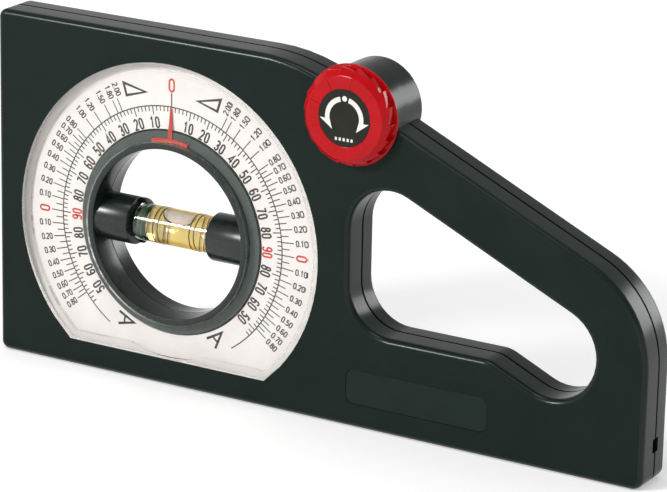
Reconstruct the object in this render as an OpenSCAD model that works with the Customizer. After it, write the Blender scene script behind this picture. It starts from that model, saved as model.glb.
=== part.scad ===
// Angle finder: a hand-held dial and level for reading angles and slopes.
// It stands on its long base. The knob turns a ring through gears inside the body.
// The ring carries a level vial and a pointer that reads on the printed dial.
// X runs along the base, the dial faces -Y, and Z is up. The origin is in the middle of the base.

/* [Body] */
// Length of the base
body_l = 220; // [200:1:270]
// Height of the flat top over the base
body_h = 108.2; // [104:0.2:135]
// Thickness of the body from face to face
body_t = 15.4; // [14:0.2:20]
// Height at which the sloping back would meet the right end
end_h = 55.3; // [44:0.5:70]
// Rounding radius along the edges of both faces
edge_r = 1.9; // [1:0.1:2.3]
// Radius of the large corner between the slope and the right end
heel_r = 32; // [20:1:40]
// Radius of the bend between the flat top and the slope
knee_r = 58; // [20:1:70]
// Radius of the small corners of the outline
corner_r = 2.6; // [2.3:0.1:5]
// Thickness of the side walls
side_wall = 2.4; // [1.8:0.1:3]
// Thickness of the front and rear walls
face_wall = 2; // [1.6:0.1:2.4]
// Thickness of the ribs inside the shells
rib_t = 1.2; // [0.8:0.1:2]
// Distance of the parting line behind the mid plane
split_back = 0.6; // [0:0.1:1]
// Width of the parting groove
groove_w = 0.7; // [0.4:0.1:1]
// Depth of the parting groove
groove_d = 0.55; // [0.3:0.05:0.8]

/* [Hand opening] */
// Width of the bar between the slope and the opening
bar_w = 16.6; // [13:0.2:20]
// Width of the narrow end of the opening, across the slope
throat_w = 27.5; // [22:0.5:34]
// Width of the post between the opening and the right end
post_w = 16.25; // [13:0.25:22]
// Width of the post between the dial cover and the opening
middle_w = 10.2; // [8:0.2:14]
// Height of the opening's level sill over the base
sill_h = 29.4; // [24:0.2:36]
// Radius of the opening's wide corners
opening_r = 13.2; // [8:0.2:16]
// Radius of the bend in the opening's lower edge
bend_r = 9; // [4:0.5:20]

/* [Dial] */
// Distance of the dial's centre from the left end
dial_in = 61; // [58:0.5:74]
// Height of the dial's centre over the base
dial_z = 47.6; // [47:0.2:58]
// Radius of the dial cover
cover_r = 52.4; // [43:0.2:53]
// Distance from the dial's centre to the cover's flat bottom
cover_flat = 39.2; // [36:0.2:44]
// Half width of the cover's flat bottom
flat_half = 34.6; // [28:0.2:40]
// Thickness of the clear cover
cover_t = 2.4; // [1.8:0.1:2.6]
// How far the cover stands proud of the face
cover_proud = 0.6; // [0.2:0.1:1]
// Width of the cover's bevelled rim
bevel_w = 2.9; // [1.5:0.1:4]
// Width of the cover's skirt, which holds the plate down
skirt_w = 2.4; // [1.6:0.1:3.2]
// Least width of the skirt, in the middle of the flat bottom
skirt_least = 0.3; // [0.2:0.1:0.8]
// Distance of the scale plate behind the face
plate_in = 3.2; // [3:0.1:3.8]
// Thickness of the scale plate
plate_t = 0.6; // [0.4:0.1:0.8]
// Clearance round the cover and the plate
seat_gap = 0.1; // [0.05:0.05:0.2]

/* [Turning ring] */
// Radius of the ring's running surface
journal_r = 31.5; // [31:0.1:33]
// Radius of the ring's bore at its middle
bore_r = 26.3; // [22:0.1:27]
// Radius of the ring's bore at the front
mouth_r = 27.9; // [27:0.1:28.4]
// Radius of the ring's front crest
crest_r = 28.9; // [28.5:0.1:29.6]
// Radial clearance of the ring in the shells
ring_gap = 0.08; // [0.04:0.01:0.1]
// Radius of the seat of the ring gear
gear_seat_r = 30.2; // [29.8:0.1:30.8]
// Width of the pointer's needle
needle_w = 1.7; // [1.2:0.1:3]
// Width of the needle's tip
needle_tip = 0.6; // [0.4:0.1:1]
// Gap between the pointer's tip and the cover's skirt as it passes
needle_gap = 0.3; // [0.2:0.1:2]
// Half angle of the pointer's red arc
pointer_arc = 13.5; // [6:0.5:20]

/* [Level vial] */
// Outer radius of the vial
vial_r = 5.65; // [4.7:0.05:5.9]
// Wall of the vial's tube
vial_wall = 1.2; // [0.8:0.1:1.6]
// Half length of the vial
vial_half = 13.8; // [12:0.2:16]
// Length of the vial's end plugs
plug_l = 4; // [2:0.2:5]
// Radius of the rear saddles
saddle_r = 7.2; // [6.4:0.1:7.3]
// Radius of the front caps
cap_r = 5.6; // [4.5:0.1:6]
// Length of the saddles under the vial's ends
saddle_lap = 1.3; // [1:0.1:3]
// Rounding of the saddles' ends
saddle_round = 1.2; // [0.4:0.1:1.3]
// Length of the bubble
bubble_l = 11.4; // [8:0.2:13]
// Radius of the bubble
bubble_r = 2.9; // [2:0.1:3.2]
// Distance from the middle to the inner marks
mark_x = 5.8; // [5:0.1:6.6]
// Distance between the two marks on a side
mark_step = 1.6; // [1:0.1:2]

/* [Gears] */
// Teeth of the ring gear
ring_teeth = 88; // [80:1:92]
// Teeth of the idler gear
idler_teeth = 27; // [24:1:30]
// Teeth of the pinion
pinion_teeth = 18; // [16:1:20]
// Angle at the dial's centre between the idler and the knob
idler_bend = 5.2; // [0:0.1:12]
// Thickness of the gears
gear_t = 2.8; // [2.2:0.1:3.2]
// Play between meshing teeth
backlash = 0.2; // [0.1:0.05:0.3]
// Radial clearance of the shafts in their bores
shaft_gap = 0.06; // [0.03:0.01:0.1]
// End float between turning and fixed faces
end_gap = 0.4; // [0.3:0.05:0.5]
// Gap between the teeth's tips and the body
tip_gap = 0.6; // [0.4:0.1:0.8]
// Width of the felt ring behind the ring gear
felt_w = 3; // [2:0.1:4]

/* [Knob] */
// Distance of the knob's axis from the dial's centre, along the base
knob_dx = 63.4; // [54:0.2:66]
// Height of the knob's axis over the dial's centre
knob_dz = 47.4; // [42:0.2:50]
// Height of the slope's edge over the knob's axis
slope_over_knob = 3.9; // [2:0.1:6]
// Radius of the barrel behind the knob
barrel_r = 13.8; // [13:0.1:16]
// Wall of the barrel's rear crown
crown_wall = 2; // [1.4:0.1:2.6]
// Radius of the knob's grip
knob_r = 14.3; // [13:0.1:17.2]
// Height of the knob
knob_h = 5; // [4.6:0.1:7]
// Gap between the knob and the body
knob_gap = 0.35; // [0.3:0.05:0.5]
// Number of grip steps
grip_steps = 12; // [8:1:16]
// Depth of each grip step
step_d = 0.6; // [0.3:0.05:0.9]
// Width of the knob's front chamfer
knob_chamfer = 1.9; // [1:0.1:2.5]
// Radius of the inlay disc
disc_r = 8.45; // [7:0.05:10]
// Depth of the inlay disc below the knob's face
disc_in = 0.15; // [0:0.05:0.3]
// Radius of the knob's shaft
shaft_r = 2.5; // [2:0.1:3]
// Radius of the knob's screw
knob_screw_r = 1.1; // [0.8:0.05:1.3]

/* [Small parts] */
// Radius of the idler's pin
pin_r = 1.5; // [1.2:0.1:2]
// Radius of the case screws
screw_r = 1.25; // [1:0.05:1.5]
// Radius of the case screws' heads
head_r = 2.4; // [2.2:0.1:2.8]
// Distance of the corner screws from the edges
screw_in = 5.7; // [5.4:0.1:8]
// Radius of the ring's screws
ring_screw_r = 0.9; // [0.7:0.05:1]
// Radius of the locating pins
dowel_r = 1.2; // [1:0.1:1.6]
// Gap between a fixed piece and its seat
snug = 0.05; // [0.02:0.01:0.1]
// Length of the label plate
label_l = 46.6; // [40:0.2:50]
// Height of the label plate
label_h = 10.4; // [9:0.2:12]
// Height of the label plate's lower edge over the base
label_z = 7.5; // [6.5:0.1:9]
// Thickness of the label plate
label_t = 0.4; // [0.3:0.1:0.6]
// Height of the slot in the right end
slot_h = 4.2; // [3:0.1:5]
// Height of the slot's lower edge over the base
slot_z = 9.6; // [9.2:0.1:12]

/* [Hidden] */
$fn = 96;
over = 5;

// Planes across the thickness, from front to rear
face_y = -body_t / 2;
rear_y = body_t / 2;
split_y = split_back;
inner_face_y = face_y + face_wall;
inner_rear_y = rear_y - face_wall;
cover_front_y = face_y - cover_proud;
cover_back_y = cover_front_y + cover_t;
plate_y = face_y + plate_in;
floor_y = plate_y + plate_t;
needle_y = plate_y - 1.1;
needle_t = 0.5;
skirt_pass_r = cover_flat - skirt_least;
needle_r = skirt_pass_r - needle_gap;
gear_y = split_y - gear_t;
pocket_y = gear_y - end_gap;
stop_y = split_y + end_gap;

// Centres in the plane of the dial
dial_x = -body_l / 2 + dial_in;
knob_x = dial_x + knob_dx;
knob_z = dial_z + knob_dz;
slope_a = atan2(knob_z + slope_over_knob - end_h, body_l / 2 - knob_x);

// The module lets the idler reach from the ring gear to the pinion at the chosen bend
knob_dist = sqrt(knob_dx * knob_dx + knob_dz * knob_dz);
teeth_1 = (ring_teeth + idler_teeth) / 2;
teeth_2 = (idler_teeth + pinion_teeth) / 2;
reach = teeth_1 * cos(idler_bend);
gear_m = knob_dist * (reach - sqrt(reach * reach - teeth_1 * teeth_1 + teeth_2 * teeth_2))
    / (teeth_1 * teeth_1 - teeth_2 * teeth_2);
idler_dir = atan2(knob_dz, knob_dx) + idler_bend;
idler_x = dial_x + gear_m * teeth_1 * cos(idler_dir);
idler_z = dial_z + gear_m * teeth_1 * sin(idler_dir);
pinion_dir = atan2(knob_z - idler_z, knob_x - idler_x);
pressure_a = 20;
tooth_tip = 0.95;
tooth_root = 1.25;
// A tooth of the ring gear points at the idler, and each next gear meets it with a gap
idler_phase = idler_dir + 180 + 180 / idler_teeth;
pinion_phase = pinion_dir + 180 + 180 / pinion_teeth
    + (pinion_dir - idler_phase) * idler_teeth / pinion_teeth;
function tip_radius(teeth) = gear_m * (teeth / 2 + tooth_tip);
function root_radius(teeth) = gear_m * (teeth / 2 - tooth_root);
ring_pocket_r = tip_radius(ring_teeth) + tip_gap;
idler_pocket_r = tip_radius(idler_teeth) + tip_gap;
pinion_pocket_r = tip_radius(pinion_teeth) + tip_gap;
gear_rim = 2;
web_in = 1.2;

// Turning ring
ring_edge_y = face_y + 2.7;
crest_y = face_y - 0.3;
rear_crest_y = rear_y - 0.3;
hole_r = journal_r + 0.25;
plate_hole_r = journal_r + 0.4;
collar_r = journal_r + 2.2;
felt_r = (journal_r + root_radius(ring_teeth)) / 2;
felt_t = 1.1;
felt_y = split_y + 0.3;
arm_end = (bore_r + crest_r) / 2 + 0.7;
saddle_x = vial_half - saddle_lap;
ring_screw_mid = (bore_r + gear_seat_r) / 2 + 0.45;
ring_screw_head_r = ring_screw_r + 0.5;
ring_screw_turns = [40, 140, 220, 320];
ring_head_y = rear_crest_y - 1.5;
ring_screw_y = split_y - 4;

// Vial
vial_in_r = vial_r - vial_wall;
fill_half = vial_half - plug_l;

// Knob stack, from the body outwards
knob_back_y = face_y - knob_gap;
knob_front_y = knob_back_y - knob_h;
disc_front_y = knob_front_y + disc_in;
disc_back_y = disc_front_y + 0.5;
screw_head_y = disc_back_y + 0.1;
screw_seat_y = screw_head_y + 1.3;
shaft_end_y = screw_seat_y + 1;
recess_y = knob_front_y + 2.2;
washer_y = knob_back_y - 0.85;
washer_t = 0.8;
flange_t = 1.15;
flange_r = knob_r + step_d + 0.2;
hub_r = shaft_r + 3.1;
bush_r = shaft_r + 1.7;
bush_flange_r = bush_r + 1.4;
bush_flange_y = pocket_y - 0.6;
barrel_in_r = barrel_r - crown_wall;
crown_lift = 1;
shaft_flat = shaft_r - 0.5;
shaft_rear_y = rear_y - 2.4;

// Small parts
boss_r = head_r + 1.1;
pin_boss_r = pin_r + 2.6;
dowel_boss_r = dowel_r + 1.6;
bar_screw_x = knob_x + 44;
screw_at = [
    [-body_l / 2 + screw_in, body_h - screw_in],
    [-body_l / 2 + screw_in, screw_in],
    [dial_x + 46, screw_in],
    [body_l / 2 - screw_in, screw_in],
    [body_l / 2 - post_w / 2, slot_z + slot_h + 24.5],
    [bar_screw_x, slope_z(bar_screw_x, bar_w / 2)],
    [dial_x + 25, min(body_h - screw_in, slope_z(dial_x + 25, screw_in))]
];
dowel_at = [
    [body_l / 2 - 26, screw_in + 1.6],
    [dial_x - 36, body_h - screw_in]
];
head_y = rear_y - 2.4;
head_t = 1.7;
rib_step = 22;
label_x = dial_x + cover_r + middle_w + 0.3;
label_in = label_t + 0.1;
label_corner = 2.3;

// Points of an outline with round corners, drawn in by d. Each corner is [x, z, r], in turn
// counter-clockwise. Where the outline turns the other way, its r still counts as positive.
function unit(v) = v / norm(v);
function left_of(v) = [-v[1], v[0]];
function corner_arc(a, b, c, d) = let(
    u = unit([b[0] - a[0], b[1] - a[1]]),
    v = unit([c[0] - b[0], c[1] - b[1]]),
    n1 = left_of(u),
    n2 = left_of(v),
    m = (n1 + n2) / (1 + n1 * n2),
    turn = atan2(u[0] * v[1] - u[1] * v[0], u * v),
    r = turn > 0 ? max(b[2] - d, 0.3) : -(b[2] + d),
    centre = [b[0], b[1]] + (d + r) * m,
    count = max(1, ceil(abs(turn) / (b[2] > 20 ? 5 : 9)))
) [for (i = [0:count]) let(
    t = turn * i / count,
    n = [n1[0] * cos(t) - n1[1] * sin(t), n1[0] * sin(t) + n1[1] * cos(t)]
) centre - r * n];
function outline(corners, d) = let(n = len(corners)) [
    for (i = [0:n - 1])
        each corner_arc(corners[(i + n - 1) % n], corners[i], corners[(i + 1) % n], d)
];

// Lines parallel to the sloping back, a distance inward from it
function slope_z(x, inward) = end_h + (body_l / 2 - x) * tan(slope_a) - inward / cos(slope_a);
function slope_x(z, inward) = body_l / 2 - (z - end_h + inward / cos(slope_a)) / tan(slope_a);

body_corners = [
    [-body_l / 2, 0, corner_r],
    [body_l / 2, 0, corner_r + 0.9],
    [body_l / 2, end_h, heel_r],
    [slope_x(body_h, 0), body_h, knee_r],
    [-body_l / 2, body_h, corner_r]
];
body_mid = [0, body_h / 2];

// The hand opening ends in a half circle at the narrow side
opening_x = dial_x + cover_r + middle_w;
throat_x = body_l / 2 - post_w - throat_w / 2;
throat_z = (slope_z(throat_x, bar_w) + slope_z(throat_x, bar_w + throat_w)) / 2;
along = [cos(slope_a), -sin(slope_a)];
throat_tip = [throat_x, throat_z] + along * throat_w / 2;
low_tip = throat_tip - left_of(along) * throat_w / 2;
high_tip = throat_tip + left_of(along) * throat_w / 2;
throat_r = throat_w / 2 - 0.02;
opening_corners = [
    [opening_x, sill_h, opening_r + 0.6],
    [slope_x(sill_h, bar_w + throat_w), sill_h, bend_r],
    [low_tip[0], low_tip[1], throat_r],
    [high_tip[0], high_tip[1], throat_r],
    [opening_x, slope_z(opening_x, bar_w), opening_r]
];
opening_mid_x = (opening_x + throat_x) / 2;
opening_mid = [opening_mid_x, (sill_h + slope_z(opening_mid_x, bar_w)) / 2];

// Solid through a row of sections, each [y, inset]. Its ends fan out from the point middle.
module loft(corners, sections, middle) {
    rings = [for (s = sections) outline(corners, s[1])];
    n = len(rings[0]);
    k = len(rings);
    points = [
        for (i = [0:k - 1]) for (p = rings[i]) [p[0], sections[i][0], p[1]],
        [middle[0], sections[0][0], middle[1]],
        [middle[0], sections[k - 1][0], middle[1]]
    ];
    sides = [
        for (i = [0:k - 2]) for (j = [0:n - 1]) let(
            a = i * n + j,
            b = i * n + (j + 1) % n
        ) each [[a, b, b + n], [a, b + n, a + n]]
    ];
    first = [for (j = [0:n - 1]) [k * n, (j + 1) % n, j]];
    last = [for (j = [0:n - 1]) [k * n + 1, (k - 1) * n + j, (k - 1) * n + (j + 1) % n]];
    polyhedron(points = points, faces = concat(sides, first, last));
}

// Sections of the rounded edges at the two faces. grow is -1 for an opening.
round_steps = 5;
function front_edge(grow) = [
    for (i = [round_steps:-1:0]) let(t = 90 * i / round_steps)
        [face_y + edge_r * (1 - sin(t)), grow * edge_r * (1 - cos(t))]
];
function rear_edge(grow) = [
    for (i = [0:round_steps]) let(t = 90 * i / round_steps)
        [rear_y - edge_r * (1 - sin(t)), grow * edge_r * (1 - cos(t))]
];
front_sections = concat(front_edge(1), [
    [split_y - groove_w / 2, 0],
    [split_y - groove_w / 2, groove_d],
    [split_y, groove_d]
]);
rear_sections = concat([
    [split_y, groove_d],
    [split_y + groove_w / 2, groove_d],
    [split_y + groove_w / 2, 0]
], rear_edge(1));
front_opening = concat([[face_y - over, -edge_r]], front_edge(-1), [
    [split_y - groove_w / 2, 0],
    [split_y - groove_w / 2, -groove_d],
    [split_y + over, -groove_d]
]);
rear_opening = concat([
    [split_y - over, -groove_d],
    [split_y + groove_w / 2, -groove_d],
    [split_y + groove_w / 2, 0]
], rear_edge(-1), [[rear_y + over, -edge_r]]);

// A plate from y0 to y1, whose outline is drawn in x and z
module slab(y0, y1) {
    rotate([90, 0, 0]) translate([0, 0, -y1]) linear_extrude(y1 - y0) children();
}
// A turned shape about an axis along Y. Its profile is drawn in radius and y.
module lathe(at, angle = 360, middle = 180) {
    translate([at[0], 0, at[1]]) rotate([90, 0, 0]) mirror([0, 0, 1])
        rotate([0, 0, middle - angle / 2]) rotate_extrude(angle = angle) children();
}
module disc(at, r, y0, y1) {
    translate([at[0], y0, at[1]]) rotate([-90, 0, 0]) cylinder(r = r, h = y1 - y0);
}
// A rod along X, from x0 to x1 of the dial's centre
module rod(x0, x1, r) {
    translate([dial_x + x0, 0, dial_z]) rotate([0, 90, 0]) cylinder(r = r, h = x1 - x0);
}
dial_at = [dial_x, dial_z];
idler_at = [idler_x, idler_z];
knob_at = [knob_x, knob_z];

// The dial's shape, drawn in by d: a circle with a flat bottom and two slanting sides
module dial_shape(d) {
    low = -cover_flat + d;
    half = flat_half - d * tan(22.5);
    translate(dial_at) intersection() {
        circle(r = cover_r - d);
        polygon([
            [-half, low], [half, low], [half + 40, low + 40], [half + 40, 80],
            [-half - 40, 80], [-half - 40, low + 40]
        ]);
    }
}

// The rear part of the barrel that stands out of the slope
module crown_shape(gap) {
    intersection() {
        difference() {
            translate(knob_at) circle(r = barrel_r + gap);
            translate(knob_at) circle(r = barrel_in_r - gap);
        }
        translate(knob_at) rotate(-slope_a) translate([-40, crown_lift - gap]) square([80, 40]);
    }
}

// The hollow of a shell, round its posts, bosses, ribs and barrel, and round any children
module hollow_shape() {
    difference() {
        polygon(outline(body_corners, side_wall));
        polygon(outline(opening_corners, -side_wall));
        for (s = screw_at) translate(s) circle(r = boss_r);
        for (s = dowel_at) translate(s) circle(r = dowel_boss_r);
        translate(idler_at) circle(r = pin_boss_r);
        translate(knob_at) circle(r = barrel_r + 1.4);
        for (i = [1:3]) translate([opening_x + i * rib_step, 0]) square([rib_t, body_h]);
        children();
    }
}

module slot_cut() {
    translate([body_l / 2 - 1.5, split_y - 1.7, slot_z]) cube([3, 3.4, slot_h]);
}

module front_case() color([0.13, 0.18, 0.165]) difference() {
    union() {
        loft(body_corners, front_sections, body_mid);
        disc(knob_at, barrel_r, face_y, split_y);
        slab(split_y - 1, rear_y) crown_shape(0);
    }
    loft(opening_corners, front_opening, opening_mid);
    slab(inner_face_y, split_y + over) hollow_shape() dial_shape(-side_wall);
    // Pocket of the plate and the cover, and the ring's bore
    slab(face_y - over, floor_y) dial_shape(-seat_gap);
    disc(dial_at, journal_r + ring_gap, floor_y - 1, pocket_y + 1);
    // Gear pockets
    disc(dial_at, ring_pocket_r, pocket_y, split_y + over);
    disc(idler_at, idler_pocket_r, pocket_y, split_y + over);
    disc(knob_at, barrel_in_r, pocket_y, rear_y + over);
    // Bores of the bush, the pin, the locating pins and the screws
    disc(knob_at, bush_r + snug, face_y - over, pocket_y + 1);
    disc(knob_at, bush_flange_r + snug, bush_flange_y, pocket_y + 1);
    disc(idler_at, pin_r + snug, face_y + 1.8, pocket_y + 1);
    for (s = screw_at) disc(s, screw_r + snug, face_y + 2, split_y + over);
    for (s = dowel_at) disc(s, dowel_r + snug, split_y - 3.6, split_y + over);
    slab(face_y - over, face_y + label_in) label_shape(0.1);
    slot_cut();
}

module rear_case() color([0.12, 0.165, 0.15]) difference() {
    union() {
        loft(body_corners, rear_sections, body_mid);
        disc(knob_at, barrel_in_r - snug, split_y, rear_y);
    }
    loft(opening_corners, rear_opening, opening_mid);
    slab(split_y - over, rear_y + over) crown_shape(snug);
    difference() {
        union() {
            slab(split_y - over, inner_rear_y) hollow_shape();
            disc(dial_at, ring_pocket_r, split_y - over, inner_rear_y);
        }
        disc(dial_at, collar_r, split_y - over - 1, rear_y);
        lathe(dial_at) translate([felt_r - felt_w / 2 - 0.4, felt_y + felt_t])
            square([felt_w + 0.8, rear_y - felt_y - felt_t]);
    }
    // Relief behind the gears
    disc(dial_at, ring_pocket_r, split_y - over, stop_y);
    disc(idler_at, idler_pocket_r, split_y - over, stop_y);
    disc(knob_at, pinion_pocket_r, split_y - over, stop_y);
    lathe(knob_at) translate([shaft_r + 2.4, split_y - over])
        square([pinion_pocket_r - shaft_r - 2.9, inner_rear_y - split_y + over]);
    // Bores of the ring, the shaft, the pin, the locating pins and the screws
    disc(dial_at, journal_r + ring_gap, split_y - over, rear_y + over);
    disc(knob_at, shaft_r + shaft_gap, split_y - over, shaft_rear_y + 0.4);
    disc(idler_at, pin_r + snug, split_y - over, rear_y - 1.8);
    for (s = dowel_at) disc(s, dowel_r + snug, split_y - over, split_y + 3.1);
    for (s = screw_at) disc(s, screw_r + 0.15, split_y - over, rear_y + over);
    for (s = screw_at) disc(s, head_r + 0.2, head_y, rear_y + over);
    slot_cut();
}

module scale_plate() color([0.93, 0.92, 0.89]) difference() {
    slab(plate_y, floor_y) dial_shape(0);
    disc(dial_at, plate_hole_r, plate_y - 1, floor_y + 1);
}

// The clear cover. Its rim slopes back to the level of the face, and its skirt stands on the plate.
module dial_cover() color([0.85, 0.9, 0.92, 0.35]) {
    slant = (flat_half + cover_flat) * sin(45);
    difference() {
        intersection() {
            slab(cover_front_y, cover_back_y) dial_shape(0);
            lathe(dial_at) polygon([
                [0, cover_front_y], [cover_r - bevel_w, cover_front_y], [cover_r, face_y],
                [cover_r, cover_back_y], [0, cover_back_y]
            ]);
        }
        bevel_cut(0, cover_flat);
        bevel_cut(45, slant);
        bevel_cut(-45, slant);
        disc(dial_at, hole_r, cover_front_y - 1, cover_back_y + 1);
    }
    difference() {
        slab(cover_back_y - 0.5, plate_y) dial_shape(0);
        slab(cover_back_y - 1, plate_y + 1) dial_shape(skirt_w);
        disc(dial_at, skirt_pass_r, cover_back_y - 1, plate_y + 1);
    }
}
// What lies in front of the bevel along a straight edge, a distance below the dial's centre
module bevel_cut(turn, distance) {
    rise = cover_proud / bevel_w;
    translate([dial_x, 0, dial_z]) rotate([0, turn, 0]) rotate([0, 90, 0]) translate([0, 0, -40])
        linear_extrude(80) polygon([
            [distance - bevel_w - 2, cover_front_y - 2 * rise],
            [distance + over, face_y + over * rise],
            [distance + over, cover_front_y - over],
            [distance - bevel_w - 2, cover_front_y - over]
        ]);
}

module label_shape(grow) {
    r = label_corner;
    x0 = label_x - grow;
    x1 = label_x + label_l + grow;
    z0 = label_z - grow;
    z1 = label_z + label_h + grow;
    translate([x0 + r, z0]) square([x1 - x0 - 2 * r, z1 - z0]);
    translate([x0, z0 + r]) square([x1 - x0, z1 - z0 - 2 * r]);
    for (x = [x0 + r, x1 - r]) for (z = [z0 + r, z1 - r]) translate([x, z]) circle(r = r);
}
module label_plate() color([0.2, 0.26, 0.24]) {
    slab(face_y + label_in - label_t, face_y + label_in) label_shape(0);
}

function ring_screw_at(t) = dial_at + ring_screw_mid * [cos(t), sin(t)];

// The ring's front half: a conical band up to the crest, and a cap over each end of the vial
module rotor_front() color([0.33, 0.38, 0.36]) difference() {
    union() {
        lathe(dial_at) polygon([
            [bore_r, split_y], [gear_seat_r, split_y], [gear_seat_r, gear_y],
            [journal_r, gear_y], [journal_r, ring_edge_y], [crest_r, crest_y],
            [crest_r - 0.35, crest_y], [mouth_r, crest_y + 1]
        ]);
        intersection() {
            union() {
                rod(vial_half + 0.2, arm_end, cap_r);
                rod(-arm_end, -vial_half - 0.2, cap_r);
            }
            translate([dial_x - 50, -50, dial_z - 50]) cube([100, 50 + split_y, 100]);
        }
    }
    for (t = ring_screw_turns)
        disc(ring_screw_at(t), ring_screw_r + snug, ring_screw_y - 0.1, split_y + 1);
    pointer_shape();
}

// The arm of a saddle, with a rounded end
module saddle_arm(turn) {
    translate([dial_x, 0, dial_z]) rotate([0, turn, 0]) rotate_extrude() polygon(concat(
        [[0, arm_end], [0, saddle_x]],
        [for (a = [90:-30:0]) [
            saddle_r - saddle_round + saddle_round * cos(a),
            saddle_x + saddle_round - saddle_round * sin(a)
        ]],
        [[saddle_r, arm_end]]
    ));
}

// The ring's rear half: a flange behind the gear, and a saddle under each end of the vial
module rotor_rear() color([0.3, 0.34, 0.32]) difference() {
    union() {
        lathe(dial_at) polygon([
            [bore_r, split_y], [journal_r, split_y], [journal_r, rear_crest_y - 0.6],
            [journal_r - 0.6, rear_crest_y], [bore_r + 0.9, rear_crest_y],
            [bore_r + 0.5, rear_crest_y - 0.4]
        ]);
        intersection() {
            union() {
                saddle_arm(90);
                saddle_arm(-90);
            }
            translate([dial_x - 50, split_y, dial_z - 50]) cube([100, 50, 100]);
        }
    }
    rod(-vial_half - 0.1, vial_half + 0.1, vial_r + snug);
    for (t = ring_screw_turns) {
        disc(ring_screw_at(t), ring_screw_r + 0.1, split_y - 1, rear_y);
        disc(ring_screw_at(t), ring_screw_head_r + 0.1, ring_head_y, rear_y);
    }
}

// Outline of an involute gear that has a tooth at the angle phase
function involute(a) = tan(a) - a * PI / 180;
function half_tooth(teeth, r) = let(
    pitch = gear_m * teeth / 2,
    a = acos(min(1, pitch * cos(pressure_a) / r))
) 90 / teeth + (involute(pressure_a) - involute(a) - backlash / 4 / pitch) * 180 / PI;
function gear_points(teeth, phase) = let(
    root = root_radius(teeth),
    low = max(gear_m * teeth / 2 * cos(pressure_a), root),
    tip = tip_radius(teeth),
    steps = teeth > 40 ? 2 : 3,
    low_turn = half_tooth(teeth, low),
    flank = [for (i = [(low > root ? 0 : 1):steps]) let(r = low + (tip - low) * i / steps)
        [r, half_tooth(teeth, r)]],
    tooth = concat(
        [[root, -low_turn]],
        [for (f = flank) [f[0], -f[1]]],
        [for (i = [len(flank) - 1:-1:0]) flank[i]],
        [[root, low_turn]]
    )
) [
    for (k = [0:teeth - 1]) for (p = tooth) let(t = phase + k * 360 / teeth + p[1])
        p[0] * [cos(t), sin(t)]
];
module gear(at, teeth, phase) {
    slab(gear_y, split_y) translate(at) polygon(gear_points(teeth, phase));
}
// A recess in a gear's front face, from the radius r0 out to its rim
module web_cut(at, teeth, r0) {
    lathe(at) translate([r0, gear_y - 1])
        square([root_radius(teeth) - gear_rim - r0, 1 + web_in]);
}

module ring_gear() color([0.86, 0.84, 0.78]) difference() {
    gear(dial_at, ring_teeth, idler_dir);
    disc(dial_at, gear_seat_r + snug, gear_y - 1, split_y + 1);
    web_cut(dial_at, ring_teeth, journal_r + 1.2);
}
module idler_gear() color([0.86, 0.84, 0.78]) difference() {
    gear(idler_at, idler_teeth, idler_phase);
    disc(idler_at, pin_r + shaft_gap, gear_y - 1, split_y + 1);
    web_cut(idler_at, idler_teeth, pin_boss_r);
}
module idler_pin() color([0.75, 0.76, 0.78]) {
    disc(idler_at, pin_r, face_y + 1.8, rear_y - 1.9);
}

// The flat that lets the knob turn the shaft
module flat_cut(y1, z) {
    translate([knob_x - 5, shaft_end_y - 1, knob_z + z]) cube([10, y1 - shaft_end_y + 1, 5]);
}
module pinion_shaft() color([0.8, 0.78, 0.72]) difference() {
    union() {
        gear(knob_at, pinion_teeth, pinion_phase);
        disc(knob_at, shaft_r, shaft_end_y, shaft_rear_y);
    }
    flat_cut(washer_y, shaft_flat);
    disc(knob_at, knob_screw_r + snug, shaft_end_y - 1, shaft_end_y + 5);
}
module knob_bush() color([0.78, 0.62, 0.32]) {
    lathe(knob_at) polygon([
        [shaft_r + shaft_gap, face_y], [bush_r, face_y], [bush_r, bush_flange_y],
        [bush_flange_r, bush_flange_y], [bush_flange_r, pocket_y], [shaft_r + shaft_gap, pocket_y]
    ]);
}
module friction_washer() color([0.15, 0.15, 0.15]) difference() {
    disc(knob_at, hub_r - 0.3, washer_y, washer_y + washer_t);
    disc(knob_at, shaft_r + 0.1, washer_y - 1, washer_y + washer_t + 1);
}
module friction_ring() color([0.25, 0.24, 0.22]) {
    lathe(dial_at) translate([felt_r - felt_w / 2, felt_y]) square([felt_w, felt_t]);
}

// The knob: stepped flats round the side, a chamfer in front and a flange behind
module knob() color([0.8, 0.1, 0.13]) difference() {
    union() {
        intersection() {
            slab(knob_front_y, knob_back_y) translate(knob_at) polygon([
                for (k = [0:grip_steps - 1]) for (i = [0:2])
                    let(t = (k + i / 2) * 360 / grip_steps, r = knob_r + step_d * i / 2)
                        r * [cos(t), sin(t)]
            ]);
            lathe(knob_at) polygon([
                [0, knob_front_y], [knob_r + step_d - knob_chamfer, knob_front_y],
                [flange_r + 0.2, knob_front_y + knob_chamfer], [flange_r + 0.2, knob_back_y],
                [0, knob_back_y]
            ]);
        }
        disc(knob_at, flange_r, knob_back_y - flange_t, knob_back_y);
    }
    disc(knob_at, disc_r + snug, knob_front_y - 1, disc_back_y);
    // Hollow back round the hub
    lathe(knob_at) translate([hub_r, recess_y])
        square([knob_r - 2.2 - hub_r, knob_back_y - recess_y + 1]);
    disc(knob_at, hub_r + 0.1, washer_y, knob_back_y + 1);
    // Seat of the screw, and the flatted bore
    disc(knob_at, 2.6, knob_front_y, screw_seat_y);
    disc(knob_at, knob_screw_r + 0.1, knob_front_y, shaft_end_y);
    difference() {
        disc(knob_at, shaft_r + snug, shaft_end_y - snug, washer_y + 1);
        flat_cut(washer_y + 2, shaft_flat + snug);
    }
}
module knob_disc() color([0.18, 0.17, 0.15]) {
    disc(knob_at, disc_r, disc_front_y, disc_back_y);
}

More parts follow.
